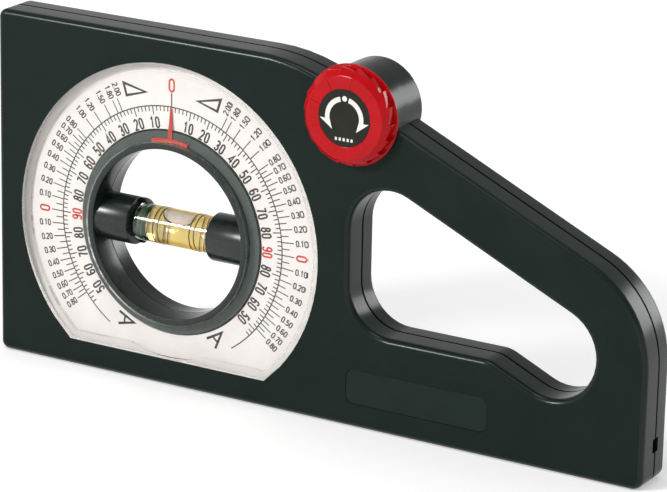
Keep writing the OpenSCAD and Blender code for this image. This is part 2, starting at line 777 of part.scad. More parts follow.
// A cross in the head of a screw
module cross_recess(at, y, r) {
    for (t = [0, 90]) translate([at[0], y, at[1]]) rotate([0, t, 0])
        translate([-r, -0.8, -0.25]) cube([2 * r, 1.6, 0.5]);
}
module knob_screw() color([0.75, 0.76, 0.78]) difference() {
    union() {
        disc(knob_at, 2.3, screw_head_y, screw_seat_y);
        disc(knob_at, knob_screw_r, screw_seat_y, shaft_end_y + 4.8);
    }
    cross_recess(knob_at, screw_head_y, 1.4);
}
module case_screws() color([0.25, 0.26, 0.27]) for (s = screw_at) difference() {
    union() {
        lathe(s) polygon([
            [0, head_y], [head_r, head_y], [head_r, head_y + head_t - 0.6],
            [head_r - 0.7, head_y + head_t], [0, head_y + head_t]
        ]);
        disc(s, screw_r, face_y + 2.4, head_y);
    }
    cross_recess(s, head_y + head_t, 1.3);
}
module rotor_screws() color([0.25, 0.26, 0.27]) for (t = ring_screw_turns) difference() {
    union() {
        disc(ring_screw_at(t), ring_screw_head_r, ring_head_y, ring_head_y + 1.1);
        disc(ring_screw_at(t), ring_screw_r, ring_screw_y, ring_head_y);
    }
    cross_recess(ring_screw_at(t), ring_head_y + 1.1, 0.8);
}
module locating_pins() color([0.75, 0.76, 0.78]) {
    for (s = dowel_at) disc(s, dowel_r, split_y - 3.6, split_y + 3);
}

// The pointer: a red arc on the crest, a bar down the conical band, and the flat needle
module pointer_shape() {
    lathe(dial_at, 2 * pointer_arc, 90) translate([crest_r - 0.3, crest_y - 0.15])
        square([0.9, 1.5]);
    translate([dial_x - needle_w / 2, 0, dial_z]) rotate([90, 0, 90]) linear_extrude(needle_w)
        polygon([
            [crest_y - 0.15, crest_r - 0.3], [crest_y - 0.15, crest_r + 0.1],
            [needle_y, journal_r - 0.4], [needle_y + needle_t, journal_r - 0.4],
            [needle_y + needle_t, crest_r - 0.3]
        ]);
    slab(needle_y, needle_y + needle_t) translate(dial_at) polygon([
        [-needle_w / 2, crest_r], [needle_w / 2, crest_r], [needle_w / 2, journal_r + 1.5],
        [needle_tip / 2, needle_r], [-needle_tip / 2, needle_r], [-needle_w / 2, journal_r + 1.5]
    ]);
}
module pointer() color([0.8, 0.25, 0.17]) pointer_shape();

module vial_tube() color([0.95, 0.9, 0.6, 0.4]) difference() {
    rod(-vial_half, vial_half, vial_r);
    rod(-vial_half - 1, vial_half + 1, vial_in_r);
}
module vial_plugs() color([0.5, 0.6, 0.3]) {
    rod(-vial_half, -fill_half, vial_in_r - 0.01);
    rod(fill_half, vial_half, vial_in_r - 0.01);
}
module bubble_shape(r) {
    half = bubble_l / 2 - bubble_r;
    translate([0, 0, vial_in_r - bubble_r - 0.1]) {
        rod(-half, half, r);
        for (x = [-half, half]) translate([dial_x + x, 0, dial_z]) sphere(r = r);
    }
}
module vial_liquid() color([0.92, 0.8, 0.35, 0.7]) difference() {
    rod(-fill_half + 0.01, fill_half - 0.01, vial_in_r - 0.01);
    bubble_shape(bubble_r + 0.01);
}
module vial_bubble() color([0.97, 0.95, 0.93, 0.8]) bubble_shape(bubble_r);
module vial_rings() color([0.35, 0.22, 0.1]) {
    for (s = [-1, 1]) for (x = [mark_x, mark_x + mark_step]) difference() {
        rod(s * x - 0.25, s * x + 0.25, vial_r + 0.08);
        rod(s * x - 1, s * x + 1, vial_r + 0.01);
    }
}

front_case();
rear_case();
scale_plate();
dial_cover();
label_plate();
rotor_front();
rotor_rear();
ring_gear();
pointer();
rotor_screws();
vial_tube();
vial_plugs();
vial_liquid();
vial_bubble();
vial_rings();
idler_gear();
idler_pin();
pinion_shaft();
knob_bush();
friction_washer();
friction_ring();
knob();
knob_disc();
knob_screw();
case_screws();
locating_pins();
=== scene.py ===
# %% [markdown]
# # Dressing an angle finder
# The tool in front of us is a flat, dark plastic body that stands on its long base. A red knob turns
# a ring in the middle of a round dial. The ring carries a level vial and a red pointer.
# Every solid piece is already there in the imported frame, in metres, in its own place. This lesson gives
# each piece its finish, makes the pieces that the eye rests on again with finer shapes, prints the
# scale on the dial and lights the whole thing like a studio table.

# %% Load the frame
import math

import bmesh
import bpy
from mathutils import Matrix, Vector


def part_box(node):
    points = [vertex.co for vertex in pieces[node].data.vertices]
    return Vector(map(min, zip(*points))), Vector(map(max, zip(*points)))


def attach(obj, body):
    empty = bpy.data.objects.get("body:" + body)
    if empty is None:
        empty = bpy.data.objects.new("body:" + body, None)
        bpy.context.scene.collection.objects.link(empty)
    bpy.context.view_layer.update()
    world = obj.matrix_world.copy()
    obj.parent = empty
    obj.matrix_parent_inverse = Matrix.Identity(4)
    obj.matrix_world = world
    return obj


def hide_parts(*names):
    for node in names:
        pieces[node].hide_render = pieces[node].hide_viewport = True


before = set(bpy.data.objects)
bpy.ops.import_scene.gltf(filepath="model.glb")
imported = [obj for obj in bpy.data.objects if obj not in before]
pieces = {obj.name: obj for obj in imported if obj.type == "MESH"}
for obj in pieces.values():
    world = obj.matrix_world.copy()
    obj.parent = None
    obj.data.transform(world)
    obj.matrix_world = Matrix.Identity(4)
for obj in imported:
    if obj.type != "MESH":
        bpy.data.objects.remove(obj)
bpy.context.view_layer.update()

MM = 0.001
scene = bpy.context.scene
print("pieces in the frame:", len(pieces))

# %% [markdown]
# ## Where the camera stands
# The real tool was seen from its right and from a little above, through a long lens. A long lens keeps
# parallel edges nearly parallel. A camera could be aimed at a target with a constraint, but a plain turn
# is easier to repeat: azimuth and elevation first, then a slight roll, at one fixed place.

# %% Camera
AZIMUTH = math.radians(30.24)
ELEVATION = math.radians(17.76)
ROLL = math.radians(1.19)
CAMERA_PLACE = Vector((505.87, -860.5, 370.7)) * MM

look_turn = (
    Matrix.Rotation(AZIMUTH, 4, "Z")
    @ Matrix.Rotation(math.pi / 2 - ELEVATION, 4, "X")
    @ Matrix.Rotation(ROLL, 4, "Z")
)
camera_data = bpy.data.cameras.new("view_camera")
camera_data.sensor_width = 36.0
camera_data.lens = 193.3
camera_data.clip_start = 0.05
camera_data.clip_end = 20.0
camera = bpy.data.objects.new("view_camera", camera_data)
camera.matrix_world = Matrix.Translation(CAMERA_PLACE) @ look_turn
scene.collection.objects.link(camera)
scene.camera = camera
print("camera is", round(camera.location.length, 3), "m from the base's middle")

# %% [markdown]
# ## Small helpers for node materials
# A finish is a little network of nodes. It could be wired node by node, but a few helpers keep it
# readable: they fill a node's inputs by name, with a plain value or with another node's output. Another
# turns the colour that we read by eye into the linear numbers that the renderer wants.

# %% Nodes and colours
WHITE = (1.0, 1.0, 1.0, 1.0)


def eye_colour(red, green, blue):
    """A colour as the eye reads it, 0 to 255, in linear light."""
    linear = []
    for part in (red, green, blue):
        share = part / 255
        linear.append(share / 12.92 if share <= 0.04045 else ((share + 0.055) / 1.055) ** 2.4)
    return (*linear, 1.0)


def new_finish(name):
    """An empty material with one main shader."""
    material = bpy.data.materials.new(name)
    material.use_nodes = True
    return material, material.node_tree, material.node_tree.nodes["Principled BSDF"]


def feed(tree, source, socket):
    """Links an output to the socket, or sets the socket to a plain value."""
    if isinstance(source, bpy.types.NodeSocket):
        tree.links.new(source, socket)
    else:
        socket.default_value = source


def fill(tree, node, **sockets):
    """Feeds a node's inputs by name."""
    for name, source in sockets.items():
        feed(tree, source, node.inputs[name.replace("_", " ")])
    return node


def add_node(tree, kind, **sockets):
    """A new node with its inputs filled."""
    return fill(tree, tree.nodes.new(kind), **sockets)


# %% Sums and ramps
def sum_of(tree, kind, operation, *sources):
    """The number that a math node of this kind makes of its sources."""
    node = tree.nodes.new(kind)
    node.operation = operation
    for source, socket in zip(sources, node.inputs):
        feed(tree, source, socket)
    return node.outputs["Value"]


def maths(tree, operation, *sources):
    return sum_of(tree, "ShaderNodeMath", operation, *sources)


def ramp(tree, value, start, end, low=0.0, high=1.0):
    """Goes from low to high while the value goes from start to end."""
    node = add_node(
        tree, "ShaderNodeMapRange", Value=value, From_Min=start, From_Max=end, To_Min=low, To_Max=high
    )
    return node.outputs["Result"]


def spread(tree, noise, low=0.0, high=1.0):
    """Stretches a noise, which stays near one half, to the range low to high."""
    return ramp(tree, noise, 0.3, 0.7, low, high)


def two_colours(tree, factor, first, second):
    """The first colour where factor is 0, the second where it is 1."""
    node = tree.nodes.new("ShaderNodeMix")
    node.data_type = "RGBA"
    fill(tree, node, Factor=factor, A=first, B=second)
    return node.outputs["Result"]


def clouded(tree, noise, dark, light):
    """A colour that drifts between two colours, as the eye reads them, with a noise."""
    return two_colours(tree, spread(tree, noise), eye_colour(*dark), eye_colour(*light))


# %% Places, spots and bumps
def object_place(tree):
    """The place of a surface point in the piece's own coordinates, in metres."""
    return add_node(tree, "ShaderNodeTexCoord").outputs["Object"]


def along_axis(tree, vector, axis):
    """One of a vector's three numbers."""
    return add_node(tree, "ShaderNodeSeparateXYZ", Vector=vector).outputs[axis]


def speckle(tree, size_mm, detail=2.0):
    """Soft random spots of about this size."""
    noise = add_node(
        tree, "ShaderNodeTexNoise", Vector=object_place(tree), Scale=1000 / size_mm, Detail=detail
    )
    return noise.outputs["Fac"]


def soft_edges(tree, radius_mm):
    """A normal that rounds every sharp edge by this radius."""
    bevel = add_node(tree, "ShaderNodeBevel", Radius=radius_mm * MM)
    bevel.samples = 6
    return bevel.outputs["Normal"]


def roughen(tree, shader, height, depth_mm, edge_mm=0.0):
    """Raises the surface a little where height is high, on edges rounded by edge_mm."""
    bump = add_node(tree, "ShaderNodeBump", Strength=1.0, Distance=depth_mm * MM, Height=height)
    if edge_mm:
        fill(tree, bump, Normal=soft_edges(tree, edge_mm))
    fill(tree, shader, Normal=bump.outputs["Normal"])


# %% [markdown]
# ## The body's plastic
# Both halves of the body are moulded in one dark green-black plastic. The two broad faces carry a fine
# spark-eroded grain. The rounded edges and the sides are smoother and shine a little. Two materials on
# separate faces would meet in a hard line, so one material tells the two apart by the direction of
# the surface: a broad face looks along the tool's thickness. Shade gathers in the parting groove, where
# the two halves meet; a near-black painted shade there keeps the thin line clear from afar.

# %% Broad faces and the groove
PARTING_Y = 0.6
BARREL_R = 16.0
KNOB = Vector((14.4, 0.0, 95.0))


def broad_face(tree):
    """1 on the two broad faces, 0 on sides and rounded edges."""
    normal = add_node(tree, "ShaderNodeNewGeometry").outputs["True Normal"]
    return ramp(tree, maths(tree, "ABSOLUTE", along_axis(tree, normal, "Y")), 0.95, 0.99)


def near_groove(tree):
    """1 in the parting groove, where shade is painted. 0 away from it and on the knob's barrel, which has
    none.
    """
    place = object_place(tree)
    offset = maths(tree, "SUBTRACT", along_axis(tree, place, "Y"), PARTING_Y * MM)
    shade = ramp(tree, maths(tree, "ABSOLUTE", offset), 0.5 * MM, 0.62 * MM, 1.0, 0.0)
    barrel_middle = (KNOB + Vector((0.0, PARTING_Y, 0.0))) * MM
    reach = sum_of(tree, "ShaderNodeVectorMath", "DISTANCE", place, barrel_middle)
    off_barrel = ramp(tree, reach, (BARREL_R - 0.1) * MM, (BARREL_R + 0.1) * MM)
    return maths(tree, "MULTIPLY", shade, off_barrel)


# %% Body plastic
FACE_ROUGHNESS, SIDE_ROUGHNESS = 0.5, 0.3
SIDE_COAT = 0.25
groove_shade = eye_colour(6, 8, 8)


def body_finish(name, dark, light):
    """Grained moulded plastic, with a thin polished skin on the sides and the rounded edges."""
    material, tree, shader = new_finish(name)
    face = broad_face(tree)
    # Where the groove mask is high, a near-black painted shade replaces the plastic's colour.
    groove = near_groove(tree)
    plastic = clouded(tree, speckle(tree, 14.0, 3.0), dark, light)
    dull = maths(tree, "MAXIMUM", face, groove)
    fill(
        tree, shader,
        Base_Color=two_colours(tree, groove, plastic, groove_shade),
        Roughness=ramp(tree, face, 0.0, 1.0, SIDE_ROUGHNESS, FACE_ROUGHNESS),
        Coat_Weight=ramp(tree, dull, 0.0, 1.0, SIDE_COAT, 0.0),
        Coat_Roughness=0.2,
        Specular_IOR_Level=0.14,
    )
    roughen(tree, shader, maths(tree, "MULTIPLY", speckle(tree, 0.45), face), 0.035)
    return material


front_plastic = body_finish("grained_front_plastic", (12, 27, 23), (17, 32, 28))
# The rear half's copy of the same plastic is a shade lighter and greyer: painted light, for the brighter look
# of its upper side.
rear_plastic = body_finish("grained_rear_plastic", (16, 27, 24), (21, 32, 29))
print("body finishes:", front_plastic.name, rear_plastic.name)

# %% [markdown]
# ## Smooth plastics and the plate's paint
# The turning ring, the knob and the small moulded pieces are smooth. One colour with one gloss would
# look like a drawing, so the finish is a base colour with a faint cloudy variation, a roughness that
# wanders a little as handling leaves it, and edges that catch the light because no moulded edge is
# truly sharp. The white plate under the cover is painted, with the slight orange peel of a screened
# film, and the same recipe with larger clouds serves it well.

# %% Smooth finishes
def smooth_finish(name, dark, light, rough, edge_mm=0.15, cloud_mm=6.0, wave_mm=0.004, shine=0.5):
    """A smooth surface between two close colours."""
    material, tree, shader = new_finish(name)
    cloud = speckle(tree, cloud_mm, 3.0)
    fill(
        tree, shader,
        Base_Color=clouded(tree, cloud, dark, light),
        Roughness=spread(tree, cloud, rough * 0.85, rough * 1.15),
        Specular_IOR_Level=shine,
    )
    roughen(tree, shader, speckle(tree, 1.2), wave_mm, edge_mm)
    return material


ring_plastic = smooth_finish("satin_ring_plastic", (18, 27, 24), (23, 33, 30), 0.27)
# The band is the neck's plastic painted paler: painted light for its look through the cover.
paler_painted_band = smooth_finish(
    "band_plastic_painted_paler", (74, 84, 79), (82, 92, 87), 0.4, edge_mm=0.1, shine=0.2
)
ring_back_plastic = smooth_finish(
    "satin_ring_back_plastic", (16, 24, 22), (21, 29, 27), 0.13, shine=0.3
)
knob_plastic = smooth_finish(
    "glossy_red_plastic", (180, 0, 8), (190, 0, 14), 0.15, edge_mm=0.2, shine=0.2
)
pointer_plastic = smooth_finish(
    "pointer_red_plastic", (187, 48, 12), (196, 56, 18), 0.35, edge_mm=0.06
)
disc_plastic = smooth_finish(
    "dark_inlay_plastic", (34, 34, 28), (40, 40, 34), 0.4, edge_mm=0.08, shine=0.15
)
label_plastic = smooth_finish(
    "label_plate_plastic", (18, 33, 29), (23, 38, 34), 0.42, edge_mm=0.1, shine=0.16
)
gear_plastic = smooth_finish(
    "cream_gear_plastic", (222, 214, 196), (232, 225, 208), 0.42, edge_mm=0.1
)
rubber = smooth_finish("washer_rubber_black", (30, 30, 30), (38, 38, 37), 0.75, edge_mm=0.1)
plate_paint = smooth_finish(
    "warm_white_paint", (241, 235, 229), (247, 242, 237), 0.45, edge_mm=0.05, cloud_mm=9.0, wave_mm=0.003
)
print("smooth finishes made, from", ring_plastic.name, "to", plate_paint.name)

# %% [markdown]
# ## Metals and felt
# These pieces hide inside or at the back: steel pins, blackened screws, a brass bush and a felt ring.
# Turned metal shows fine lines from the lathe. They could be drawn with a wave texture, but a noise that
# is squeezed in one direction looks less regular. Felt is a mat of fibres: a very fine noise with a
# little sheen.

# %% Metals
def metal_finish(name, dark, light, rough):
    """Turned metal with fine lines."""
    material, tree, shader = new_finish(name)
    squeezed = add_node(tree, "ShaderNodeMapping", Vector=object_place(tree), Scale=(1.0, 9.0, 1.0))
    noise = add_node(
        tree, "ShaderNodeTexNoise", Vector=squeezed.outputs["Vector"], Scale=900.0, Detail=3.0
    )
    lines = noise.outputs["Fac"]
    fill(
        tree, shader,
        Base_Color=clouded(tree, lines, dark, light),
        Roughness=spread(tree, lines, rough * 0.8, rough * 1.25),
        Metallic=1.0,
    )
    roughen(tree, shader, lines, 0.006, 0.1)
    return material


bright_steel = metal_finish("ground_steel", (176, 178, 182), (204, 206, 209), 0.28)
dark_steel = metal_finish("blackened_steel", (62, 63, 66), (88, 89, 92), 0.36)
brass = metal_finish("turned_brass", (188, 150, 82), (214, 178, 104), 0.3)

# %% Pressed felt
felt, felt_tree, felt_shader = new_finish("pressed_felt")
fibres = speckle(felt_tree, 0.25, 6.0)
grey_wool = clouded(felt_tree, fibres, (58, 56, 52), (88, 85, 80))
fill(felt_tree, felt_shader, Base_Color=grey_wool, Roughness=0.95, Sheen_Weight=0.4)
roughen(felt_tree, felt_shader, fibres, 0.08)
print("metals and felt made")

# %% [markdown]
# ## Clear pieces
# The dial cover and the vial's tube are clear. Real glass bends the lamps' light into caustics, which
# take very long to render. The usual studio trick is used here: what looks at the piece sees true
# refraction, and lamp light passes straight through. The wall of the cover's hole is a machined cut, so
# it is satin and doesn't mirror the lamps.

# %% Clear plastic
def any_ray(tree, *kinds):
    """1 for a ray of one of these kinds, 0 for the others."""
    ray = tree.nodes.new("ShaderNodeLightPath")
    value = ray.outputs[kinds[0]]
    for kind in kinds[1:]:
        value = maths(tree, "MAXIMUM", value, ray.outputs[kind])
    return value


def choose_shader(tree, factor, first, second):
    """The first shader where factor is 0, the second where it is 1."""
    node = tree.nodes.new("ShaderNodeMixShader")
    for source, socket in zip((factor, first, second), node.inputs):
        feed(tree, source, socket)
    return node.outputs["Shader"]


def clear_finish(name, tint, bend, rough, shadow_tint, ripple_mm=0.0, ripple_size=3.0):
    """Clear plastic or liquid that lets lamp light straight through."""
    material, tree, shader = new_finish(name)
    fill(tree, shader, Base_Color=tint, Roughness=rough, IOR=bend, Transmission_Weight=1.0)
    if ripple_mm:
        roughen(tree, shader, speckle(tree, ripple_size, 1.0), ripple_mm)
    light = any_ray(tree, "Is Shadow Ray", "Is Diffuse Ray")
    straight = add_node(tree, "ShaderNodeBsdfTransparent", Color=shadow_tint)
    both = choose_shader(tree, light, shader.outputs["BSDF"], straight.outputs["BSDF"])
    fill(tree, tree.nodes["Material Output"], Surface=both)
    return material


faint_yellow = (1.0, 1.0, 0.99, 1.0)
cover_clear = clear_finish("clear_cover_plastic", WHITE, 1.26, 0.0, WHITE, 0.0004, 12.0)
cut_clear = clear_finish("cut_edge_of_cover_plastic", WHITE, 1.08, 0.6, WHITE, 0.0004, 12.0)
tube_clear = clear_finish(
    "clear_vial_plastic", faint_yellow, 1.49, 0.0, (1.0, 1.0, 0.98, 1.0), 0.0003, 5.0
)
liquid_clear = clear_finish("clear_liquid_side", faint_yellow, 1.36, 0.0, (1.0, 1.0, 0.95, 1.0))
print("clear finishes made")

# %% [markdown]
# ## Dress the pieces whose shape is right
# Most pieces keep the shape that they have in the frame and only need a finish. A list of names and
# finishes is the shortest way to say so. The finish goes on the object and not on its mesh, so the
# frame's own mesh stays as it was.

# %% Match finishes to pieces
finish_of = {
    "front_case": front_plastic,
    "rear_case": rear_plastic,
    "scale_plate": plate_paint,
    "label_plate": label_plastic,
    "rotor_rear": ring_back_plastic,
    "ring_gear": gear_plastic,
    "rotor_screws": dark_steel,
    "idler_gear": gear_plastic,
    "idler_pin": bright_steel,
    "pinion_shaft": gear_plastic,
    "knob_bush": brass,
    "friction_washer": rubber,
    "friction_ring": felt,
    "knob_disc": disc_plastic,
    "knob_screw": bright_steel,
    "case_screws": dark_steel,
    "locating_pins": bright_steel,
}

for node_name, finish in finish_of.items():
    for slot in pieces[node_name].material_slots:
        slot.link = "OBJECT"
        slot.material = finish
print("dressed", len(finish_of), "pieces")

# %% [markdown]
# ## Rounding the body's facets
# The body's rounded edges arrive as narrow flat strips. Modelling them finer would cost many faces. A
# pair of modifiers blends them without moving a point: the first one joins the strips and marks only
# true corners as sharp, and the second one weights each normal by the size of its face, so that the
# broad faces stay flat.

# %% Blend the strips
TRUE_CORNER = math.radians(28.0)


def blend_group():
    """A modifier's node group that smooths every edge flatter than a true corner."""
    group = bpy.data.node_groups.new("blend_strips", "GeometryNodeTree")
    for direction in ("INPUT", "OUTPUT"):
        group.interface.new_socket("Geometry", in_out=direction, socket_type="NodeSocketGeometry")
    shape = group.nodes.new("NodeGroupInput").outputs["Geometry"]
    shape = add_node(
        group, "GeometryNodeRemoveAttribute", Geometry=shape, Name="custom_normal"
    ).outputs["Geometry"]
    shape = add_node(
        group, "GeometryNodeMergeByDistance", Geometry=shape, Distance=0.002 * MM
    ).outputs["Geometry"]
    angle = group.nodes.new("GeometryNodeInputMeshEdgeAngle").outputs["Unsigned Angle"]
    corner = group.nodes.new("FunctionNodeCompare")
    corner.operation = "GREATER_THAN"
    fill(group, corner, A=angle, B=TRUE_CORNER)
    faces = group.nodes.new("GeometryNodeSetShadeSmooth")
    faces.domain = "FACE"
    fill(group, faces, Geometry=shape)
    edges = group.nodes.new("GeometryNodeSetShadeSmooth")
    edges.domain = "EDGE"
    fill(
        group, edges, Geometry=faces.outputs["Geometry"], Selection=corner.outputs["Result"],
        Shade_Smooth=False,
    )
    fill(group, group.nodes.new("NodeGroupOutput"), Geometry=edges.outputs["Geometry"])
    return group


strip_blend = blend_group()
for node_name in ("front_case", "rear_case"):
    joiner = pieces[node_name].modifiers.new("blend_strips", "NODES")
    joiner.node_group = strip_blend
    weights = pieces[node_name].modifiers.new("weigh_normals", "WEIGHTED_NORMAL")
    weights.mode = "FACE_AREA"
    weights.weight = 100
    weights.keep_sharp = True
print("body facets blended")

# %% [markdown]
# ## Turned shapes
# The ring, the vial and the pointer's arc are all turned: a closed outline in the plane of an axis is
# carried round it, all the way or only part of it. A screw modifier could do it, but it can't close the
# ends of a part turn. One helper makes the points instead. It joins the outline at one angle to the
# outline at the next, and closes both ends where the turn is not whole.

# %% Join outlines into a solid
DIAL = Vector((-49.0, 0.0, 47.6))


def solid_from_outlines(name, outlines, wrap, sharp_angle=TRUE_CORNER):
    """A closed mesh from a row of equal outlines in mm, each a ring of points."""
    mesh = bmesh.new()
    rings = [[mesh.verts.new(point * MM) for point in outline] for outline in outlines]
    pairs = list(zip(rings, rings[1:]))
    if wrap:
        pairs.append((rings[-1], rings[0]))
    else:
        mesh.faces.new(rings[0])
        mesh.faces.new(rings[-1])
    for a, b in pairs:
        for k in range(len(a)):
            n = (k + 1) % len(a)
            mesh.faces.new((a[k], a[n], b[n], b[k]))
    bmesh.ops.remove_doubles(mesh, verts=mesh.verts, dist=0.0001 * MM)
    bmesh.ops.recalc_face_normals(mesh, faces=mesh.faces)
    for face in mesh.faces:
        face.smooth = True
    data = bpy.data.meshes.new(name)
    mesh.to_mesh(data)
    mesh.free()
    data.set_sharp_from_angle(angle=sharp_angle)
    piece = bpy.data.objects.new(name, data)
    scene.collection.objects.link(piece)
    return piece


# %% Turn an outline about an axis
def turned(name, outline, axis, start=0.0, end=360.0, steps=96):
    """Turns an outline of (place along the axis, radius) in mm about the dial's middle."""
    whole = end - start >= 360
    outlines = []
    for k in range(steps if whole else steps + 1):
        turn = math.radians(start + (end - start) * k / steps)
        ring = []
        for along, radius in outline:
            across, up = radius * math.cos(turn), radius * math.sin(turn)
            offset = (along, -across, up) if axis == "x" else (across, along, up)
            ring.append(DIAL + Vector(offset))
        outlines.append(ring)
    return solid_from_outlines(name, outlines, whole)


def merge_into(piece, *others):
    """Moves the faces of other pieces into the first one."""
    merged = bmesh.new()
    for source in (piece, *others):
        merged.from_mesh(source.data)
    merged.to_mesh(piece.data)
    merged.free()
    for other in others:
        bpy.data.objects.remove(other)
    piece.data.set_sharp_from_angle(angle=TRUE_CORNER)
    return piece


# %% Give a piece its place in the assembly
def place_piece(piece, body, node, finish):
    """Gives a piece its finish and its body, and hides the frame's node that it stands for."""
    piece.data.materials.append(finish)
    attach(piece, body)
    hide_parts(node)
    print(piece.name, "has", len(piece.data.polygons), "faces and stands for", node)


def second_finish(piece, finish, wanted):
    """Puts another finish on the faces that are wanted, told from each one's centre and reach."""
    piece.data.materials.append(finish)
    count = 0
    for face in piece.data.polygons:
        reach = math.hypot(face.center.x - DIAL.x * MM, face.center.z - DIAL.z * MM) / MM
        face.material_index = 1 if wanted(face.center / MM, reach) else 0
        count += face.material_index
    print("faces in", finish.name, "on", piece.name, "are", count)


# %% [markdown]
# ## The ring's front
# The front half of the ring has a flat band that runs under the dial cover, and a neck that stands in
# the cover's round hole. A cap holds each end of the vial's axis: a half cylinder that grows out of the
# bore's wall. The right cap laps over the vial's end, and the left one stops short of it. All three
# are turned shapes that overlap inside the wall, so they need no cutting: they only share one mesh.
# The flat band is the same plastic as the neck. Seen through the cover it looks paler, and that
# paleness is painted into a finish of its own as painted light.

# %% Band, neck and caps
GEAR_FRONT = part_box("ring_gear")[0][1] / MM
SPLIT = 0.58
MOUTH_R, NECK_R, RING_R, GEAR_SEAT_R = 26.2, 28.1, 31.5, 30.2
NECK_FRONT, BAND_FRONT = -8.0, -5.0
CAP_R, CAP_BORE_R, CAP_ROOT = 7.4, 5.75, 26.6
RIGHT_CAP, LEFT_CAP = 13.3, -14.6
CAP_SWEEP = 90 + math.degrees(math.asin(SPLIT / CAP_R))

ring_front = turned(
    "ring_front",
    [(SPLIT, MOUTH_R + 0.4), (0.3, MOUTH_R + 0.1), (NECK_FRONT + 0.4, MOUTH_R),
     (NECK_FRONT + 0.12, MOUTH_R + 0.12), (NECK_FRONT, MOUTH_R + 0.4), (NECK_FRONT, NECK_R - 0.3),
     (NECK_FRONT + 0.09, NECK_R - 0.09), (NECK_FRONT + 0.3, NECK_R), (BAND_FRONT, NECK_R),
     (BAND_FRONT, RING_R - 0.2), (BAND_FRONT + 0.2, RING_R), (GEAR_FRONT, RING_R),
     (GEAR_FRONT, GEAR_SEAT_R), (SPLIT, GEAR_SEAT_R)],
    "y", steps=160,
)
right_cap = turned(
    "right_cap",
    [(RIGHT_CAP, CAP_BORE_R), (RIGHT_CAP, CAP_R - 0.4), (RIGHT_CAP + 0.12, CAP_R - 0.12),
     (RIGHT_CAP + 0.4, CAP_R), (CAP_ROOT, CAP_R), (CAP_ROOT, 0), (RIGHT_CAP + 0.7, 0),
     (RIGHT_CAP + 0.7, CAP_BORE_R)],
    "x", -CAP_SWEEP, CAP_SWEEP, 48,
)
left_cap = turned(
    "left_cap",
    [(LEFT_CAP, 0), (LEFT_CAP, CAP_R - 0.4), (LEFT_CAP - 0.12, CAP_R - 0.12), (LEFT_CAP - 0.4, CAP_R),
     (-CAP_ROOT, CAP_R), (-CAP_ROOT, 0)],
    "x", -CAP_SWEEP, CAP_SWEEP, 48,
)
place_piece(merge_into(ring_front, right_cap, left_cap), "rotor", "rotor_front", ring_plastic)
# The band's faces take the paler painted finish.
second_finish(
    ring_front, paler_painted_band, lambda centre, reach: abs(centre.y - BAND_FRONT) < 0.05 and reach > NECK_R
)

# %% [markdown]
# ## The pointer
# A red arc lies round the neck on the ring's flat band. From its middle a needle runs outwards, dips
# to the plate so that it reads without parallax, and narrows as it goes. The needle is a bar whose
# section changes along its length, so it is made from a few sections, each with its own width and depth.

# %% Arc and needle
ARC_HALF = 12.7
ARC_INNER_R, ARC_OUTER_R = 28.2, 29.25
ARC_FRONT, ARC_BACK = -5.6, -4.98

arc = turned(
    "pointer_arc",
    [(ARC_FRONT, ARC_INNER_R), (ARC_FRONT, ARC_OUTER_R), (ARC_BACK, ARC_OUTER_R), (ARC_BACK, ARC_INNER_R)],
    "y", 90 - ARC_HALF, 90 + ARC_HALF, 24,
)
needle_sections = [
    # distance from the dial's middle, half the width, front and back
    (28.4, 0.85, -5.5, ARC_BACK),
    (31.0, 0.72, -5.3, ARC_BACK),
    (31.6, 0.69, -5.25, -5.02),
    (33.5, 0.58, -5.05, -4.8),
    (38.6, 0.3, -4.82, -4.58),
]
needle_rows = []
for radius, half, front, back in needle_sections:
    corners = [(-half, front), (half, front), (half, back), (-half, back)]
    needle_rows.append([DIAL + Vector((x, y, radius)) for x, y in corners])
needle = solid_from_outlines("needle_bar", needle_rows, False)
place_piece(merge_into(arc, needle), "rotor", "pointer", pointer_plastic)

# %% [markdown]
# ## The dial cover
# The cover's hole fits closely round the ring's neck, so the cover hides the gap between the plate and
# the ring and keeps dust off the pointer. Its outer shape, with the bevelled rim, is right in the frame,
# so there is no need to model it anew. A copy of that mesh gets the smaller hole: each point near the
# hole moves along its own radius.

# %% Cover with a close hole
COVER_HOLE = 28.3
NEAR_HOLE = 32.5
cover_data = pieces["dial_cover"].data.copy()
cover = bpy.data.objects.new("clear_dial_cover", cover_data)
scene.collection.objects.link(cover)
moved = 0
for point in cover_data.vertices:
    across = point.co.x - DIAL.x * MM
    up = point.co.z - DIAL.z * MM
    radius = math.hypot(across, up)
    if radius < NEAR_HOLE * MM:
        point.co.x = DIAL.x * MM + across * COVER_HOLE * MM / radius
        point.co.z = DIAL.z * MM + up * COVER_HOLE * MM / radius
        moved += 1
cover_data.materials.clear()
print("points moved to the smaller hole:", moved)
place_piece(cover, "case", "dial_cover", cover_clear)
second_finish(cover, cut_clear, lambda centre, reach: reach < COVER_HOLE + 0.1)

# %% [markdown]
# ## The level vial
# The vial is a clear tube that is closed by a green plug at the left. In a real vial the liquid touches
# the wall of the tube, and the two act as one strong lens: the colour fills the tube from edge to edge.
# A hair of air between two meshes would break that lens, so the liquid is made a hair larger than the
# bore. Its near side is clear, and its far side carries the yellow, so that the bubble stays pale.
# Two brown marks stand on each side of the bubble. They are printed round the tube, and the lens shows
# the far ones too.

# %% Tube and marks
TUBE_R, VIAL_BORE_R = 5.65, 4.46
VIAL_LEFT, VIAL_RIGHT = -13.4, 13.8
LIQUID_R = VIAL_BORE_R + 0.005

